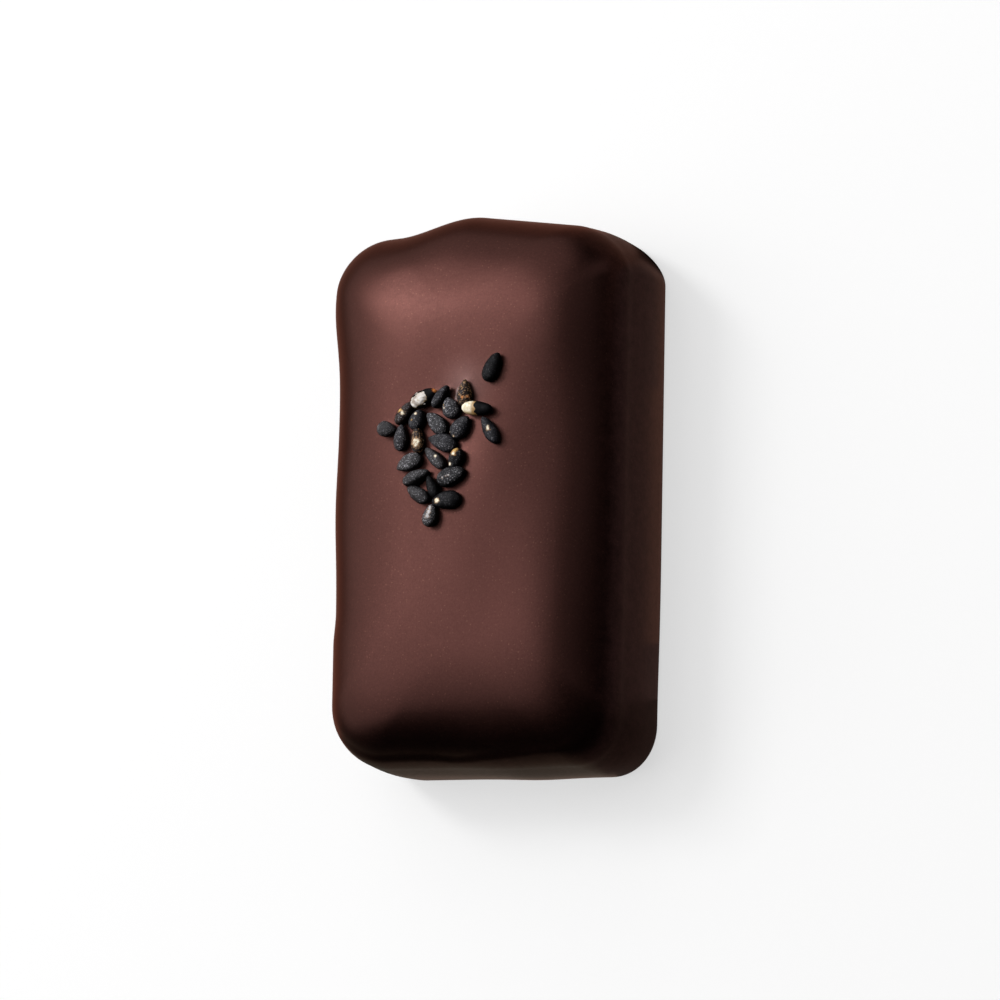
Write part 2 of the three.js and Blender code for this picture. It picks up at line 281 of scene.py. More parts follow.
def wave(points):
    """Moves the points of the plain bar to where the wavy coat has them."""
    x, y, z = points.T.copy()
    far = FAR_SLANT * x + step(x, *FAR_STEP) - FAR_STEP[2]
    near = NEAR_SLANT * x + swells(x, NEAR_SWELLS)
    left = swells(y, LEFT_SWELLS) + LEFT_STEP[2] - step(y, *LEFT_STEP)
    right = swells(y, RIGHT_SWELLS)

    def nearness(distance):
        return smooth(0, REACH, REACH - distance)

    points[:, 0] += right * nearness(WIDTH / 2 - x) - left * nearness(WIDTH / 2 + x)
    points[:, 1] += far * nearness(LENGTH / 2 - y) - near * nearness(LENGTH / 2 + y)
    above = z - LEDGE_AT - LEDGE_RISE * x - swells(x, LEDGE_SWELLS)
    points[:, 1] += LEDGE * nearness(LENGTH / 2 + y) * smooth(-LEDGE_HALF, LEDGE_HALF, above)
    points[:, 2] += crown_at(x, y) * smooth(HEIGHT - SHOULDER, HEIGHT, z)
    return points


def spaced(i):
    """Places along side i as shares of it; on the long sides they are closer beside the seeds."""
    shares = np.linspace(0, 1, SIDE_CUTS[i % 2] + 1)
    if i % 2:
        shares = np.interp(shares, [0, 1 - FINE_SHARE, 1], [0, FINE_FROM, 1])
    return (shares if i < 2 else 1 - shares[::-1])[:-1]


def outline(half_width, half_length, radii):
    """One level's closed outline as four sides that meet in the middles of the corners."""
    signs = [(-1, -1), (1, -1), (1, 1), (-1, 1)]

    def on_arc(i, degrees):
        sx, sy, r = *signs[i % 4], radii[i % 4]
        a = math.radians(degrees)
        return (sx * (half_width - r) + r * math.cos(a), sy * (half_length - r) + r * math.sin(a))

    sides = []
    for i in range(4):
        square = 270 + 90 * i
        points = [on_arc(i, square - 45 + 45 * k / CORNER_CUTS) for k in range(CORNER_CUTS)]
        start, end = on_arc(i, square), on_arc(i + 1, square)
        for share in spaced(i):
            points.append(tuple(a + (b - a) * share for a, b in zip(start, end)))
        points += [on_arc(i + 1, square + 45 * k / CORNER_CUTS) for k in range(CORNER_CUTS)]
        sides.append(np.array(points))
    return sides


def levels():
    """(inset, height) from the foot up to the rim of the flat top."""
    found = []
    for k in range(FOOT_CUTS + 1):
        a = math.pi / 2 * k / FOOT_CUTS
        found.append((FOOT * (1 - math.sin(a)), FOOT * (1 - math.cos(a))))
    wall = HEIGHT - SHOULDER - FOOT
    for k in range(1, WALL_CUTS):
        share = k / WALL_CUTS
        found.append((-BELLY * math.sin(math.pi * share), FOOT + wall * share))
    steep = np.linspace(0, BROW_FROM, SHOULDER_CUTS[0], endpoint=False)
    for share in [*steep, *np.linspace(BROW_FROM, 1, SHOULDER_CUTS[1] + 1)]:
        a = math.pi / 2 * share
        inset = SHOULDER * (1 - math.cos(a)) + BROW * share**BROW_HOLD
        found.append((inset, HEIGHT - SHOULDER + SHOULDER * math.sin(a)))
    return found


def ring_at(inset, z):
    """The four sides of the bar's outline at one level, as points with their height."""
    share = min(max(inset / (SHOULDER + BROW), 0), 1)
    radii = [r + (RIM_CORNER - r) * share for r in (NEAR_LEFT, NEAR_RIGHT, FAR_RIGHT, FAR_LEFT)]
    sides = outline(WIDTH / 2 - inset, LENGTH / 2 - inset, radii)
    return [np.column_stack([side, np.full(len(side), z)]) for side in sides]


def fill(sides):
    """A grid of points that fills a ring, blended from its four sides."""
    near, right, far, left = [np.vstack([sides[i], sides[(i + 1) % 4][:1]]) for i in range(4)]
    u = np.linspace(0, 1, len(near))[None, :, None]
    v = np.linspace(0, 1, len(right))[:, None, None]
    across = left[::-1][:, None] * (1 - u) + right[:, None] * u
    along = near[None] * (1 - v) + far[::-1][None] * v
    low = near[0] * (1 - u) + near[-1] * u
    high = far[-1] * (1 - u) + far[0] * u
    return across + along - (low * (1 - v) + high * v)


def new_object(name, vertices, faces):
    mesh = bpy.data.meshes.new(name)
    mesh.from_pydata(vertices.tolist(), [], faces)
    mesh.validate()
    mesh.update()
    mesh.shade_smooth()
    made = bpy.data.objects.new(name, mesh)
    bpy.context.scene.collection.objects.link(made)
    return made


def coat():
    """The coat's points in mm and its faces."""
    rings = [np.vstack(ring_at(*level)) for level in levels()]
    around = len(rings[0])
    faces = []
    for k in range(len(rings) - 1):
        for i in range(around):
            j = (i + 1) % around
            faces.append((k * around + i, k * around + j, (k + 1) * around + j, (k + 1) * around + i))

    grid = fill(ring_at(*levels()[-1]))
    rows, columns = grid.shape[:2]
    # the grid's rim is the last ring, so only its inner points are new
    index = np.zeros((rows, columns), int)
    last = (len(rings) - 1) * around
    rim = [(0, i) for i in range(columns - 1)] + [(j, columns - 1) for j in range(rows - 1)]
    rim += [(rows - 1, i) for i in range(columns - 1, 0, -1)] + [(j, 0) for j in range(rows - 1, 0, -1)]
    for turn, place in enumerate(rim):
        index[place] = last + turn
    inner = grid[1:-1, 1:-1].reshape(-1, 3)
    index[1:-1, 1:-1] = len(rings) * around + np.arange(len(inner)).reshape(rows - 2, columns - 2)
    for j in range(rows - 1):
        for i in range(columns - 1):
            corners = ((j, i), (j, i + 1), (j + 1, i + 1), (j + 1, i))
            faces.append(tuple(int(index[corner]) for corner in corners))
    faces.append(tuple(range(around))[::-1])
    return wave(np.vstack(rings + [inner])), faces


def seed_swell(share, taper):
    """How wide a seed is at a share of the way from its blunt end to its tip."""
    blunt = np.sqrt(np.clip(1 - (1 - share / SEED_BELLY) ** 2, 0, 1))
    after = np.clip((share - SEED_BELLY) / (1 - SEED_BELLY), 0, 1)
    return np.where(share < SEED_BELLY, blunt, np.clip(np.cos(math.pi / 2 * after), 0, 1) ** taper)


def rounded_shares(cuts):
    """Shares of the way along a seed, closer together towards its ends."""
    return (1 - np.cos(np.linspace(0, math.pi, cuts + 1))) / 2


def place_of(seed):
    """The turn and the middle of a seed, in the shape's own frame."""
    z = HEIGHT + crown_at(seed.x, seed.y) + SEED_THICKNESS * (0.5 - SEED_SUNK) + seed.lift
    return Matrix.Rotation(math.radians(seed.turn), 3, "Z"), np.array([seed.x, seed.y, z])


def seed_edge(seed):
    """The outline of a seed seen from above, as points in mm."""
    share = rounded_shares(SEED_EDGE_CUTS)
    half = seed_swell(share, seed.taper) * seed.width / 2
    along = (share - 0.5) * seed.length
    flat = np.vstack([np.column_stack([along, half]), np.column_stack([along, -half])[1:-1]])
    turn, middle = place_of(seed)
    return flat @ np.array(turn)[:2, :2].T + middle[:2]


def on_seed(seed, spots):
    """How far spots lie along a seed and to its left, and whether they lie on it."""
    turn, middle = place_of(seed)
    local = (spots - middle[:2]) @ np.array(turn)[:2, :2]
    share = local[:, 0] / seed.length + 0.5
    half = seed_swell(np.clip(share, 0, 1), seed.taper) * seed.width / 2
    return share, local[:, 1], (share > 0) & (share < 1) & (np.abs(local[:, 1]) < half)


def relief(points):
    """Raises the coat where it climbs the seeds, and says how thick a clear film lies on it."""
    upper = points[:, 2] > HEIGHT - CLUSTER_DEPTH
    near_seeds = np.nonzero(upper & (np.abs(points[:, 1] - CLUSTER_Y) < CLUSTER_REACH))[0]
    spots = points[near_seeds, :2]
    rise = np.zeros(len(spots))
    crescent = np.zeros(len(spots))
    for number, seed in enumerate(SEEDS):
        height, fall = CLIMBS.get(number, CLIMB)
        close = np.nonzero(np.linalg.norm(spots - [seed.x, seed.y], axis=1) < SEED_REACH)[0]
        reach = np.linalg.norm(spots[close, None] - seed_edge(seed)[None], axis=2).min(1)
        share, leftward, inside = on_seed(seed, spots[close])
        rise[close] = np.maximum(rise[close], height * np.exp(-np.where(inside, 0, reach) / fall))
        if number == SHINY_EDGE:
            along = smooth(*CRESCENT_STARTS, share) * smooth(*CRESCENT_STOPS, share)
            near_edge = [CRESCENT[0] + fade for fade in CRESCENT_NEAR_EDGE]
            far_edge = [CRESCENT[1] + fade for fade in CRESCENT_FAR_EDGE]
            band = smooth(*near_edge, reach) * smooth(*far_edge, reach)
            crescent[close] = band * along * (leftward > 0)
    x, y = spots.T
    mound, at_x, at_y, reach = MOUND
    points[near_seeds, 2] += rise + mound * np.exp(-((x - at_x) ** 2 + (y - at_y) ** 2) / reach**2)
    film = hills(points[:, 0], points[:, 1], FILMS)
    film *= smooth(HEIGHT - SHOULDER, HEIGHT, points[:, 2])
    film[near_seeds] = np.maximum(crescent, film[near_seeds])
    return points, film


def offset_of(points):
    """How far the shape's own frame moves, so that the bar lies where the solid does."""
    low, high = points.min(0), points.max(0)
    corners = Vector(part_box("chocolate")[0]) + Vector(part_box("chocolate")[1])
    return np.array([
        corners.x / 2 / MM - (low[0] + high[0]) / 2,
        corners.y / 2 / MM - (low[1] + high[1]) / 2,
        0,
    ])


points, faces = coat()
OFFSET = offset_of(points)
points, film = relief(points)
chocolate = new_object("coat", (points + OFFSET) * MM, faces)
layer = chocolate.data.attributes.new("film", "FLOAT", "POINT")
layer.data.foreach_set("value", film)
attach(chocolate, "root")
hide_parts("chocolate")


# ---------------------------------------------------------------- short ways to build node trees
def principled(name):
    """A new material, its node tree and its shader."""
    material = bpy.data.materials.new(name)
    material.use_nodes = True
    return material, material.node_tree, material.node_tree.nodes["Principled BSDF"]


def feed(tree, source, socket):
    """Gives a socket another node's output or a plain value."""
    if isinstance(source, bpy.types.NodeSocket):
        tree.links.new(source, socket)
    else:
        socket.default_value = source


def textured(tree, kind, **settings):
    """A procedural texture in the object's own frame; its Scale is in repeats a metre."""
    place = tree.nodes.new("ShaderNodeTexCoord")
    texture = tree.nodes.new(kind)
    for key, value in settings.items():
        texture.inputs[key].default_value = value
    tree.links.new(place.outputs["Object"], texture.inputs["Vector"])
    return texture


def remap(tree, source, low, high, to_low, to_high):
    spread = tree.nodes.new("ShaderNodeMapRange")
    for key, value in (("From Min", low), ("From Max", high), ("To Min", to_low), ("To Max", to_high)):
        spread.inputs[key].default_value = value
    tree.links.new(source, spread.inputs["Value"])
    return spread.outputs["Result"]


def maths(tree, operation, *sources):
    node = tree.nodes.new("ShaderNodeMath")
    node.operation = operation
    for source, socket in zip(sources, node.inputs):
        feed(tree, source, socket)
    return node.outputs[0]


def mixed_colour(tree, kind, factor, a, b):
    mix = tree.nodes.new("ShaderNodeMix")
    mix.data_type = "RGBA"
    mix.blend_type = kind
    for key, source in (("Factor", factor), ("A", a), ("B", b)):
        feed(tree, source, mix.inputs[key])
    return mix.outputs["Result"]


def roughen(tree, shader, height, strength, distance):
    """A fine bump, its distance in metres."""
    grain = tree.nodes.new("ShaderNodeBump")
    feed(tree, strength, grain.inputs["Strength"])
    grain.inputs["Distance"].default_value = distance
    tree.links.new(height, grain.inputs["Height"])
    tree.links.new(grain.outputs["Normal"], shader.inputs["Normal"])


NOISE_SPREAD = (0.3, 0.7)  # between what values most of a noise lies

# ---------------------------------------------------------------- the chocolate's look
GLOSS_TINT = (1, 0.75, 0.67, 1)  # at a grazing angle
FILM_WEIGHT, FILM_ROUGHNESS = (0.03, 1.0), 0.3
SLOW = {"Scale": 110, "Detail": 3, "Roughness": 0.6}
FINE = {"Scale": 2600, "Detail": 4, "Roughness": 0.7}
SLOW_ROUGHNESS, FINE_ROUGHNESS = (0.36, 0.40), (-0.03, 0.03)
GRAIN_STRENGTH, GRAIN_DISTANCE = 0.35, 0.00001

BODY = (0.044, 0.0173, 0.0145, 1)
PRICK = (0.072, 0.031, 0.024, 1)
PRICK_CELLS = {"Scale": 3200, "Randomness": 1}
PRICK_EDGE, PRICK_CHOICE = (0.28, 0.08), (0.2, 1.0)
MOTTLES = {"Scale": 5500, "Detail": 2, "Roughness": 0.7}
MOTTLES_SHADE = (0.88, 1.12)
SCUFFS = {"Scale": 900, "Detail": 6, "Roughness": 0.75}
SCUFFS_SPREAD, SCUFFS_SHADE = (0.35, 0.7), (-0.25, 0.45)
STEEP = (0.75, 0.45)  # the upward part of the normal where scuffs begin, and where they are full


def chocolate_material():
    """Chocolate with a tinted gloss, under a thin clear film that is thicker in places."""
    material, tree, shader = principled("dark chocolate")
    shader.inputs["Metallic"].default_value = 1
    shader.inputs["Specular Tint"].default_value = GLOSS_TINT
    film = tree.nodes.new("ShaderNodeAttribute")
    film.attribute_name = "film"
    feed(tree, remap(tree, film.outputs["Fac"], 0, 1, *FILM_WEIGHT), shader.inputs["Coat Weight"])
    shader.inputs["Coat Roughness"].default_value = FILM_ROUGHNESS

    # a slow change of gloss over the coat and a fine one within it
    slow = textured(tree, "ShaderNodeTexNoise", **SLOW).outputs["Fac"]
    fine = textured(tree, "ShaderNodeTexNoise", **FINE).outputs["Fac"]
    slow_part = remap(tree, slow, *NOISE_SPREAD, *SLOW_ROUGHNESS)
    fine_part = remap(tree, fine, *NOISE_SPREAD, *FINE_ROUGHNESS)
    feed(tree, maths(tree, "ADD", slow_part, fine_part), shader.inputs["Roughness"])

    # pin pricks of lighter cocoa butter
    cells = textured(tree, "ShaderNodeTexVoronoi", **PRICK_CELLS)
    prick = remap(tree, cells.outputs["Distance"], *PRICK_EDGE, 0, 1)
    pick = tree.nodes.new("ShaderNodeSeparateColor")
    tree.links.new(cells.outputs["Color"], pick.inputs["Color"])
    chosen = remap(tree, pick.outputs["Red"], *PRICK_CHOICE, 0, 1)
    body = mixed_colour(tree, "MIX", maths(tree, "MULTIPLY", prick, chosen), BODY, PRICK)

    # fine mottling all over, and scuffs on the steep sides
    mottles = textured(tree, "ShaderNodeTexNoise", **MOTTLES).outputs["Fac"]
    scuffs = textured(tree, "ShaderNodeTexNoise", **SCUFFS).outputs["Fac"]
    surface = tree.nodes.new("ShaderNodeNewGeometry")
    upright = tree.nodes.new("ShaderNodeSeparateXYZ")
    tree.links.new(surface.outputs["Normal"], upright.inputs["Vector"])
    rubbed = maths(
        tree,
        "MULTIPLY_ADD",
        remap(tree, scuffs, *SCUFFS_SPREAD, *SCUFFS_SHADE),
        remap(tree, upright.outputs["Z"], *STEEP, 0, 1),
        remap(tree, mottles, *NOISE_SPREAD, *MOTTLES_SHADE),
    )
    feed(tree, mixed_colour(tree, "MULTIPLY", 1, body, rubbed), shader.inputs["Base Color"])
    roughen(tree, shader, fine, GRAIN_STRENGTH, GRAIN_DISTANCE)
    return material


chocolate.data.materials.append(chocolate_material())


# ---------------------------------------------------------------- the seeds
def seed_points(seed, flatness, tucked=0.0):
    """Points of one seed in its own frame, as rows along it and columns around it, in mm."""
    share = rounded_shares(SEED_ROWS)
    turn = np.linspace(0, 2 * math.pi, SEED_AROUND, endpoint=False)
    half = seed_swell(share, seed.taper)[:, None]
    along = np.repeat((share - 0.5)[:, None] * (seed.length - 2 * tucked), SEED_AROUND, 1)
    across = (seed.width / 2 - tucked) * half * np.cos(turn)[None]
    bulge = np.sign(np.sin(turn)) * np.abs(np.sin(turn)) ** flatness
    up = (SEED_THICKNESS / 2 - tucked) * half**THINNING * bulge[None]
    return np.stack([along, across, up], 2)


def grained(points, size, salt):
    """Smooth noise at each point of a seed."""
    flat = points.reshape(-1, 3)
    return np.array([noise.noise(Vector(p / size + salt)) for p in flat]).reshape(points.shape[:2])


def bumped(points, seed, height, size):
    """Moves points in or out along the way from the seed's long axis by smooth noise."""
    out = points * (0, 1, 1)
    out /= np.maximum(np.linalg.norm(out, axis=2, keepdims=True), 1e-6)
    salt = Vector((seed.x * SALT, seed.y * SALT, 0))
    value = [noise.noise(Vector(p / size) + salt) for p in points.reshape(-1, 3)]
    return points + out * (np.array(value).reshape(points.shape[:2]) * height)[..., None]


def tube_faces(rows, around, start):
    """Faces of a closed tube whose first and last rows are points drawn together."""
    faces = []
    for j in range(rows - 1):
        for i in range(around):
            k = (i + 1) % around
            corners = (j * around + i, (j + 1) * around + i, (j + 1) * around + k, j * around + k)
            faces.append(tuple(start + c for c in corners))
    return faces


def tear_at(point, number):
    coarse, fine = (noise.noise(Vector(point * scale + number)) for scale in TEAR_NOISES)
    return coarse + TEAR_FINE * fine


def bare_share(number, seed, points):
    """How much of the hull is gone at each point: 1 where the kernel shows, 0 elsewhere."""
    if number not in BARE:
        return np.zeros(points.shape[:2])
    at, half_length, half_width = BARE[number]
    ragged = np.array([tear_at(p, number) for p in points.reshape(-1, 3)])
    ragged = ragged.reshape(points.shape[:2]) * TEAR_RAGGED
    along = (points[..., 0] - (at - 0.5) * seed.length) / half_length
    across = points[..., 1] / half_width
    edge = 1 - np.sqrt(along**2 + across**2) + ragged
    if number == BROKEN:
        edge = np.where(points[..., 2] > BROKEN_ABOVE, edge, -1)
    return smooth(-TEAR_HALF, TEAR_HALF, edge)


def blend(colour, other, share):
    return colour * (1 - share)[..., None] + np.array(other) * share[..., None]


def painted_lit_share(seed, points):
    """How lit a hull is painted at each point: painted light on the sides that face up, painted shade on
    the others.
    """
    away = points / (np.array((seed.length, seed.width, SEED_THICKNESS)) ** 2)
    away = away / np.linalg.norm(away, axis=2, keepdims=True)
    turned = away @ np.array(Matrix.Rotation(math.radians(seed.turn), 3, "Z")).T
    return smooth(*LIT_FACING_RANGE, turned @ np.array(LIT_FACING))


def hull_colours(number, seed, points, bare):
    """A base colour for each point of a hull, and in the fourth channel how much pale grain and painted
    glint it has.
    """
    cloud, patchy, fine = (grained(points, size, number * COLOUR_SALT) for size in HULL_NOISES)
    mottled = np.clip(1 + MOTTLE[0] * cloud + MOTTLE[1] * fine, *MOTTLE_RANGE)
    colour = np.array(seed.hull)[None, None] * mottled[..., None]
    # painted shade on the sides that face away from up, pale grain with painted glints on those that
    # face up
    lit_side = painted_lit_share(seed, points)
    colour = colour * (HULL_SIDE_SHADE + (1 - HULL_SIDE_SHADE) * lit_side)[..., None]
    amount = seed.flecked * lit_side * (GRAIN_GLINTS + GRAIN_GLINTS_SPREAD * cloud)
    share = points[..., 0] / seed.length + 0.5
    above = smooth(*MARKED_ABOVE, points[..., 2])
    for at, side, radius, mark in seed.marks:
        sideways = points[..., 1] - side * seed.width / 2
        reach = np.hypot((share - at) * seed.length * MARK_SQUEEZE, sideways)
        reach = reach + radius * (MARK_RAGGED[0] * patchy + MARK_RAGGED[1] * fine)
        fringe = smooth(radius * FRINGE_EDGE[0], radius * FRINGE_EDGE[1], reach)
        fringe = fringe * above * smooth(*FRINGE_TORN, fine)
        core = smooth(radius * CORE_EDGE[0], radius * CORE_EDGE[1], reach) * above
        colour = blend(colour, np.array(mark) * FRINGE, fringe)
        pale = np.array(mark) * (core * (1 + CORE_MOTTLE * fine))[..., None]
        colour = colour * (1 - core)[..., None] + pale
        amount = amount * (1 - core)
    if number in SPECKLED:
        speck = smooth(*SPECK_SHARPNESS, fine + SPECK_PATCHY * patchy) * above * SPECK_SHARE
        colour = blend(colour, TAN, speck)
    colour = blend(colour, np.array(STRAW) * TORN_STRAW, smooth(*TORN_EDGE, bare) * TORN_SHARE)
    return np.dstack([np.clip(colour, 0, 1), np.clip(amount, 0, 1)])


def white_kernel(seed, flatness, plain):
    """The folded kernel of the broken seed, and its colours, with painted shade in its creases and on
    one side.
    """
    kernel = seed_points(seed, flatness, KERNEL_TUCKED)
    folds = grained(plain * LONG_FOLDS, LONG_FOLD_SIZE, LONG_FOLD_SALT)
    folds = folds + FINE_FOLDS * grained(plain, FINE_FOLD_SIZE, FINE_FOLD_SALT)
    kernel[..., 1:] *= 1 + FOLD_HEIGHT * folds[..., None]
    leftward = plain[..., 1] / (seed.width / 2)
    shade = np.maximum(smooth(*CREASE_SHADE_RANGE, folds), SIDE_SHADE * smooth(*SHADED_SIDE, leftward))
    return kernel, blend(np.array(KERNEL_WHITE), KERNEL_CREASE_SHADE, shade)


def cream_kernel(number, seed, flatness, plain):
    """The smooth kernel of the seed that has lost its blunt end's hull, and its colours, with painted
    shade below its middle.
    """
    kernel = bumped(seed_points(seed, flatness, KERNEL_TUCKED), seed, *KERNEL_WAVES)
    short = BARE[number][1] - plain[..., 0] - seed.length / 2
    below = smooth(*GOLD_SHADE_BELOW, -plain[..., 1] / (seed.width / 2))
    shade = np.maximum(below, smooth(*GOLD_AT_BREAK, short))
    return kernel, blend(np.array(KERNEL_CREAM), KERNEL_GOLD_SHADE, shade)


def seed_parts(number, seed, draw):
    """A seed's hull and its kernel, or None where none shows, as points in mm with their colours."""
    flatness = FLATTER if number in FLAT else FLATNESS
    plain = seed_points(seed, flatness)
    bare = bare_share(number, seed, plain)
    shaped = bumped(bumped(plain, seed, *HULL_WAVES), seed, *HULL_GRAIN)
    inner = seed_points(seed, flatness, HULL_TUCKED)
    hull = shaped * (1 - bare)[..., None] + inner * bare[..., None]
    colours = hull_colours(number, seed, plain, bare)

    roll = draw.uniform(-ROLL_DRAW, ROLL_DRAW) + ROLLS.get(number, 0)
    pitch = draw.uniform(-PITCH_DRAW, PITCH_DRAW)
    tilt = Matrix.Rotation(math.radians(roll), 3, "X") @ Matrix.Rotation(math.radians(pitch), 3, "Y")
    turn, middle = place_of(seed)
    turn = np.array(turn @ tilt)

    def placed(points):
        return points.reshape(-1, 3) @ turn.T + middle

    if number not in BARE:
        return (placed(hull), colours.reshape(-1, 4)), None
    if number == BROKEN:
        kernel, tone = white_kernel(seed, flatness, plain)
    else:
        kernel, tone = cream_kernel(number, seed, flatness, plain)
    tone = np.dstack([tone, np.ones(plain.shape[:2])])
    return (placed(hull), colours.reshape(-1, 4)), (placed(kernel), tone.reshape(-1, 4))


def seed_piece(name, made):
    """One mesh of all the hulls or all the kernels, with its colours."""
    count = (SEED_ROWS + 1) * SEED_AROUND
    faces = [f for k in range(len(made)) for f in tube_faces(SEED_ROWS + 1, SEED_AROUND, k * count)]
    piece = new_object(name, (np.vstack([points for points, colours in made]) + OFFSET) * MM, faces)
    layer = piece.data.color_attributes.new("tone", "FLOAT_COLOR", "POINT")
    layer.data.foreach_set("color", np.vstack([colours for points, colours in made]).ravel())
    return piece


draw = np.random.default_rng(DRAW_SEED)
made = [seed_parts(number, seed, draw) for number, seed in enumerate(SEEDS)]

hull_piece = seed_piece("sesame_hulls", [hull for hull, kernel in made])
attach(hull_piece, "root")
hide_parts("chocolate")

kernel_piece = seed_piece("sesame_kernels", [kernel for hull, kernel in made if kernel])
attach(kernel_piece, "root")
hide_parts("chocolate")

# ---------------------------------------------------------------- the seeds' look
WORMS = {"Scale": 7200, "Detail": 3, "Roughness": 0.65, "Distortion": 0.4}
DUST = {"Scale": 13000, "Detail": 2, "Roughness": 0.6}
DUST_SHARE = 0.5
# pale grain that also stands for painted glints: where the noise makes it, its colour, gloss and
# roughness
FLECK_EDGE = (0.82, 0.90)
GRAIN_GLINT_COLOUR = (0.34, 0.33, 0.36, 1)
FLECK_SHINE, HULL_SHINE = 2.2, (0.07, 0.62)
HULL_SHINE_TINT = (0.96, 0.94, 1, 1)
FLECK_ROUGHNESS = (0.46, 0.3)
HULL_BUMP_FULL, HULL_BUMP, HULL_BUMP_DISTANCE = 0.6, (0.35, 1), 0.00012

KERNEL_CLOUD = {"Scale": 3500, "Detail": 5}
KERNEL_CLOUD_RAMP = [(0.35, (0.72, 0.66, 0.55, 1)), (0.55, (1, 1, 1, 1))]
KERNEL_BUMP, KERNEL_BUMP_DISTANCE = 0.4, 0.00005
KERNEL_ROUGHNESS = 0.45


def toned(tree):
    """The colours that a seed's mesh carries."""
    tone = tree.nodes.new("ShaderNodeVertexColor")
    tone.layer_name = "tone"
    return tone.outputs


def hull_material():
    """A dark matte hull with pale glossy grain and painted glints on the sides that face up."""
    material, tree, shader = principled("sesame hull")
    tone = toned(tree)
    worms = textured(tree, "ShaderNodeTexNoise", **WORMS).outputs["Fac"]
    dust = textured(tree, "ShaderNodeTexNoise", **DUST).outputs["Fac"]
    rough = maths(tree, "MULTIPLY_ADD", dust, DUST_SHARE, worms)
    grain_and_glints = maths(tree, "MULTIPLY", remap(tree, rough, *FLECK_EDGE, 0, 1), tone["Alpha"])
    colour = mixed_colour(tree, "MIX", grain_and_glints, tone["Color"], GRAIN_GLINT_COLOUR)
    feed(tree, colour, shader.inputs["Base Color"])
    shine = remap(tree, tone["Alpha"], 0, 1, *HULL_SHINE)
    shine = maths(tree, "MULTIPLY_ADD", grain_and_glints, FLECK_SHINE, shine)
    feed(tree, shine, shader.inputs["Specular IOR Level"])
    shader.inputs["Specular Tint"].default_value = HULL_SHINE_TINT
    strength = remap(tree, tone["Alpha"], 0, HULL_BUMP_FULL, *HULL_BUMP)
    roughen(tree, shader, rough, strength, HULL_BUMP_DISTANCE)
    feed(tree, remap(tree, grain_and_glints, 0, 1, *FLECK_ROUGHNESS), shader.inputs["Roughness"])
    return material


def kernel_material():
    """A pale kernel, faintly clouded."""
    material, tree, shader = principled("sesame kernel")
    cloud = textured(tree, "ShaderNodeTexNoise", **KERNEL_CLOUD).outputs["Fac"]
    ramp = tree.nodes.new("ShaderNodeValToRGB")
    for stop, (place, colour) in zip(ramp.color_ramp.elements, KERNEL_CLOUD_RAMP):
        stop.position = place
        stop.color = colour
    tree.links.new(cloud, ramp.inputs["Fac"])
    colour = mixed_colour(tree, "MULTIPLY", 1, ramp.outputs["Color"], toned(tree)["Color"])
    feed(tree, colour, shader.inputs["Base Color"])
    roughen(tree, shader, cloud, KERNEL_BUMP, KERNEL_BUMP_DISTANCE)
    shader.inputs["Roughness"].default_value = KERNEL_ROUGHNESS
    return material


hull_piece.data.materials.append(hull_material())
kernel_piece.data.materials.append(kernel_material())

# ---------------------------------------------------------------- the view
PICTURE = 1000  # pixels a side
PIXELS_PER_MM = 11.27
TILT, SWING, ROLL = 27.7, 20.2, 1.0
DISTANCE = 1100.0
FOCAL = PIXELS_PER_MM * DISTANCE  # in pixels
SEEN_AT = (490.3, 494.3)  # where the middle of the bar is seen, in pixels
SENSOR = 36
CLIP = (0.05, 20)


def make_camera():
    tilt, swing, roll = (math.radians(v) for v in (TILT, SWING, ROLL))
    back = Vector((math.sin(tilt) * math.cos(swing), -math.sin(tilt) * math.sin(swing), math.cos(tilt)))
    up = (Vector((0, 1, 0)) - back * back.y).normalized()
    right = up.cross(back)
    right, up = (
        right * math.cos(roll) + up * math.sin(roll),
        up * math.cos(roll) - right * math.sin(roll),
    )
    target = Vector(OFFSET) + Vector((0, 0, HEIGHT / 2))
    per_mm = FOCAL / DISTANCE
    aside, below = (PICTURE / 2 - SEEN_AT[0]) / per_mm, (PICTURE / 2 - SEEN_AT[1]) / per_mm
    target += right * aside - up * below
    data = bpy.data.cameras.new("camera")
    data.sensor_width = SENSOR
    data.lens = FOCAL * SENSOR / PICTURE
    data.clip_start, data.clip_end = CLIP
    camera = bpy.data.objects.new("camera", data)
    place = (target + back * DISTANCE) * MM
    camera.matrix_world = Matrix.Translation(place) @ Matrix((right, up, back)).transposed().to_4x4()
    bpy.context.scene.collection.objects.link(camera)
    bpy.context.scene.camera = camera


make_camera()

# ---------------------------------------------------------------- the floor and the light
FLOOR_HALF, FLOOR_DEPTH = 2000, 0.02
FLOOR_COLOUR, FLOOR_GLOW = (0.35, 0.35, 0.35), (0.62, 0.62, 0.62)
SHEET_ROUGHNESS = 0.9
CARD_DEPTH, SKIRT_DEPTH = 0.01, 0.005
BLACK = (0, 0, 0)
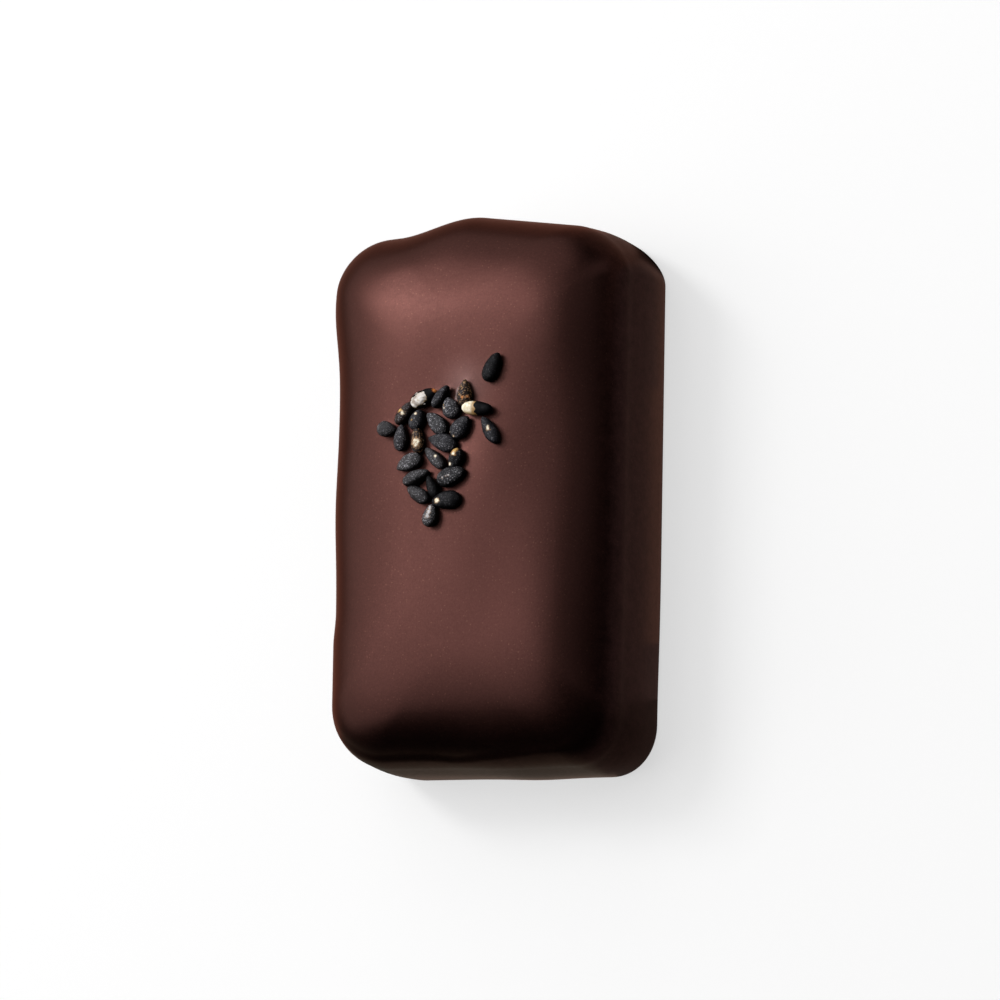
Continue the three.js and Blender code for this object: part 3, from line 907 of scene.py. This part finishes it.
# Glowing sheets on the floor near the bar that only its gloss sees, a painted reflection of a floor: dim
# near and to the right of the bar where its shadow would fall, brighter in thin strips at its foot and
# on the far and left sides. Low and high x, low and high y, depth, glow.
PAINTED_REFLECTION_CARDS = [
    ("near left card", -40, -14, -47, -24, CARD_DEPTH, (0.17, 0.21, 0.195)),
    ("near card", -14, 9, -74, -24, CARD_DEPTH, (0.18, 0.22, 0.205)),
    ("corner card", 9, 70, -74, -18, CARD_DEPTH, (0.13, 0.14, 0.145)),
    ("right card", 14, 46, -18, 24, CARD_DEPTH, (0.235, 0.245, 0.27)),
    ("near skirt", -13, 10, -25.6, -24.6, SKIRT_DEPTH, (0.42, 0.40, 0.36)),
    ("right skirt", 14.3, 15.9, -13, 10, SKIRT_DEPTH, (0.40, 0.36, 0.34)),
    ("far right skirt", 14.3, 15.1, 10, 24, SKIRT_DEPTH, (0.40, 0.36, 0.34)),
    ("left card", -200, -14, -24, 24, CARD_DEPTH, (0.50, 0.29, 0.235)),
    ("far card", -90, 9, 24, 120, CARD_DEPTH, (0.46, 0.30, 0.26)),
    ("far right card", 9, 200, 24, 200, CARD_DEPTH, (0.28, 0.23, 0.215)),
]
WORLD_GLOW, WORLD_SEEN = 0.01, 0.9  # on the bar, and where a low camera sees past the floor
# Azimuth and elevation in degrees, distance, width and height in metres, and radiance.
LIGHTS = [
    ("key", 144, 49.4, 0.6, 0.12, 0.245, 17.8),
    ("left wall", 189, 43, 0.7, 0.50, 1.25, 1.4),
    ("far wall", 129, 33.3, 0.8, 1.48, 0.96, 1.32),
    ("overhead", 99, 76, 0.65, 0.40, 0.27, 1.63),
    ("fill", 33, 35, 0.7, 0.45, 0.95, 0.5),
]


def flat_square(name, low_x, high_x, low_y, high_y, depth, colour, glow):
    """A horizontal sheet, in mm, that isn't part of the object."""
    corners = [(low_x, low_y), (high_x, low_y), (high_x, high_y), (low_x, high_y)]
    corners = np.array([(x, y, -depth) for x, y in corners])
    sheet = new_object(name, corners * MM, [(0, 1, 2, 3)])
    material, tree, shader = principled(name)
    shader.inputs["Base Color"].default_value = (*colour, 1)
    shader.inputs["Roughness"].default_value = SHEET_ROUGHNESS
    shader.inputs["Specular IOR Level"].default_value = 0
    shader.inputs["Emission Color"].default_value = (*glow, 1)
    shader.inputs["Emission Strength"].default_value = 1
    sheet.data.materials.append(material)
    return sheet


def softbox(name, azimuth, elevation, distance, width, height, radiance):
    """An area light that faces the bar. Azimuth turns from +X towards +Y."""
    a, e = math.radians(azimuth), math.radians(elevation)
    way = Vector((math.cos(a) * math.cos(e), math.sin(a) * math.cos(e), math.sin(e)))
    data = bpy.data.lights.new(name, "AREA")
    data.shape = "RECTANGLE"
    data.size, data.size_y = width, height
    data.energy = radiance * math.pi * width * height
    light = bpy.data.objects.new(name, data)
    light.location = way * distance
    light.rotation_mode = "QUATERNION"
    light.rotation_quaternion = way.to_track_quat("Z", "Y")
    bpy.context.scene.collection.objects.link(light)


def make_world():
    """A very faint glow on the bar, and a pale wall for a low camera."""
    world = bpy.data.worlds.new("world")
    bpy.context.scene.world = world
    world.use_nodes = True
    tree = world.node_tree
    background = tree.nodes["Background"]
    background.inputs["Color"].default_value = (1, 1, 1, 1)
    seen = tree.nodes.new("ShaderNodeLightPath").outputs["Is Camera Ray"]
    feed(tree, remap(tree, seen, 0, 1, WORLD_GLOW, WORLD_SEEN), background.inputs["Strength"])


# the floor is what the camera sees, and the bar's gloss sees the glowing cards, a painted reflection of
# the floor, in its place
floor = flat_square(
    "floor", -FLOOR_HALF, FLOOR_HALF, -FLOOR_HALF, FLOOR_HALF, FLOOR_DEPTH, FLOOR_COLOUR, FLOOR_GLOW
)
floor.visible_glossy = False
floor.visible_diffuse = False
for name, low_x, high_x, low_y, high_y, depth, glow in PAINTED_REFLECTION_CARDS:
    card = flat_square(name, low_x, high_x, low_y, high_y, depth, BLACK, glow)
    card.visible_camera = False
    card.visible_shadow = False
    card.visible_diffuse = False

make_world()
for light in LIGHTS:
    softbox(*light)

bpy.context.scene.view_settings.view_transform = "Standard"
